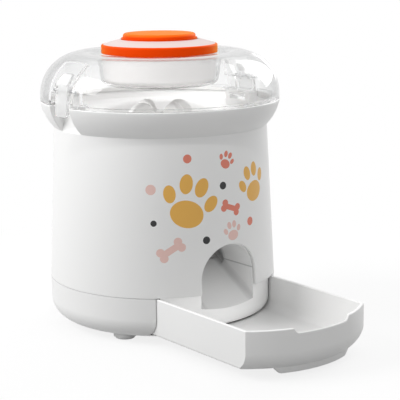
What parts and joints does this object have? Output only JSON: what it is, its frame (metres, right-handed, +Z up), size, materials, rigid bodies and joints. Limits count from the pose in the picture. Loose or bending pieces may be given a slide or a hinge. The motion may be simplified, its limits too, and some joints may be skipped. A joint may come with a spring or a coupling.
{
  "type": "pet food dispenser",
  "caption": "Round tapered pet food dispenser with a pull-out bowl, arched food outlet, clear domed lid with side latches, and a press button stored in the lid's well.",
  "frame": {"origin": "on the ground, under the middle of the whole object's bounding box with the bowl pulled out", "axes": "+Z up, -Y towards the bowl and the doorway, +X and -X towards the two latches"},
  "size_m": [0.1936, 0.2975, 0.2366],
  "materials": {
    "white_shell": "smooth moulded white plastic with a soft gloss",
    "white_inner": "plain moulded white plastic, satin",
    "clear_plastic": "clear moulded plastic, polished",
    "button_white": "warm white moulded plastic",
    "button_orange": "bright orange moulded plastic, satin",
    "foot_rubber": "soft light grey rubber",
    "seal_rubber": "soft translucent white rubber",
    "steel": "plain bright steel",
    "bush_brass": "plain sintered brass",
    "gearbox_grey": "dark grey moulded plastic",
    "board_green": "green coated circuit board",
    "cell_sleeve": "plain grey printed sleeve, no text"
  },
  "bodies": {
    "dispenser": {"base_shell": "white_shell", "foot_pad_front_left": "foot_rubber", "foot_pad_front_right": "foot_rubber", "foot_pad_rear_left": "foot_rubber", "foot_pad_rear_right": "foot_rubber", "base_screws": "steel", "body_shell": "white_shell", "chute_base": "white_shell", "chute_hood": "white_shell", "hopper_bowl": "white_shell", "portion_housing": "white_inner", "housing_screws": "steel", "shaft_bush": "bush_brass", "gearbox": "gearbox_grey", "gearbox_screws": "steel", "motor": "steel", "battery_box": "white_inner", "battery_cell_1": "cell_sleeve", "battery_cell_2": "cell_sleeve", "battery_cell_3": "cell_sleeve", "battery_cell_4": "cell_sleeve", "battery_contacts": "steel", "receiver_board": "board_green", "receiver_chip": "gearbox_grey", "power_switch": "gearbox_grey", "board_screws": "steel"},
    "bowl": {"bowl": "white_shell"},
    "wheel": {"portion_wheel": "white_inner", "drive_shaft": "steel", "agitator": "white_inner"},
    "lid": {"lid_dome": "clear_plastic", "lid_seal": "seal_rubber", "latch_pin_left": "steel", "latch_pin_right": "steel"},
    "latch_left": {"latch_left": "clear_plastic"},
    "latch_right": {"latch_right": "clear_plastic"},
    "press_button": {"button_base": "button_white", "button_housing": "button_white", "button_ring": "button_orange", "button_bezel": "button_white", "button_board": "board_green", "coin_cell": "steel", "push_switch": "gearbox_grey", "return_spring": "steel"},
    "press_pad": {"press_pad": "button_orange"},
    "battery_cover": {"battery_cover": "white_shell"},
    "power_button": {"power_button": "white_shell"}
  },
  "joints": [
    {"name": "bowl_slide", "type": "slide", "parent": "dispenser", "child": "bowl", "axis": [0, 1, 0], "range_m": [0, 0.10646]},
    {"name": "lid_lift", "type": "slide", "parent": "dispenser", "child": "lid", "axis": [0, 0, 1], "range_m": [0, 0.06]},
    {"name": "latch_left_pivot", "type": "hinge", "parent": "lid", "child": "latch_left", "pos_m": [-0.0912, 0.05083, 0.1965], "axis": [0, 1, 0], "range_deg": [0, 15]},
    {"name": "latch_right_pivot", "type": "hinge", "parent": "lid", "child": "latch_right", "pos_m": [0.0912, 0.05083, 0.1965], "axis": [0, -1, 0], "range_deg": [0, 15]},
    {"name": "button_lift", "type": "slide", "parent": "lid", "child": "press_button", "axis": [0, 0, 1], "range_m": [0, 0.05]},
    {"name": "press_travel", "type": "slide", "parent": "press_button", "child": "press_pad", "axis": [0, 0, -1], "range_m": [0, 0.0025], "stiffness_N_per_m": 800, "springref_m": -0.002, "deforming": ["return_spring"]},
    {"name": "wheel_spin", "type": "hinge", "parent": "dispenser", "child": "wheel", "pos_m": [0, 0.05083, 0.126], "axis": [0, 0, 1], "continuous": true},
    {"name": "battery_cover_pull", "type": "slide", "parent": "dispenser", "child": "battery_cover", "axis": [0, 1, 0], "range_m": [0, 0.04]},
    {"name": "power_press", "type": "slide", "parent": "dispenser", "child": "power_button", "axis": [0, -1, 0], "range_m": [0, 0.0012], "stiffness_N_per_m": 800, "springref_m": -0.001}
  ]
}
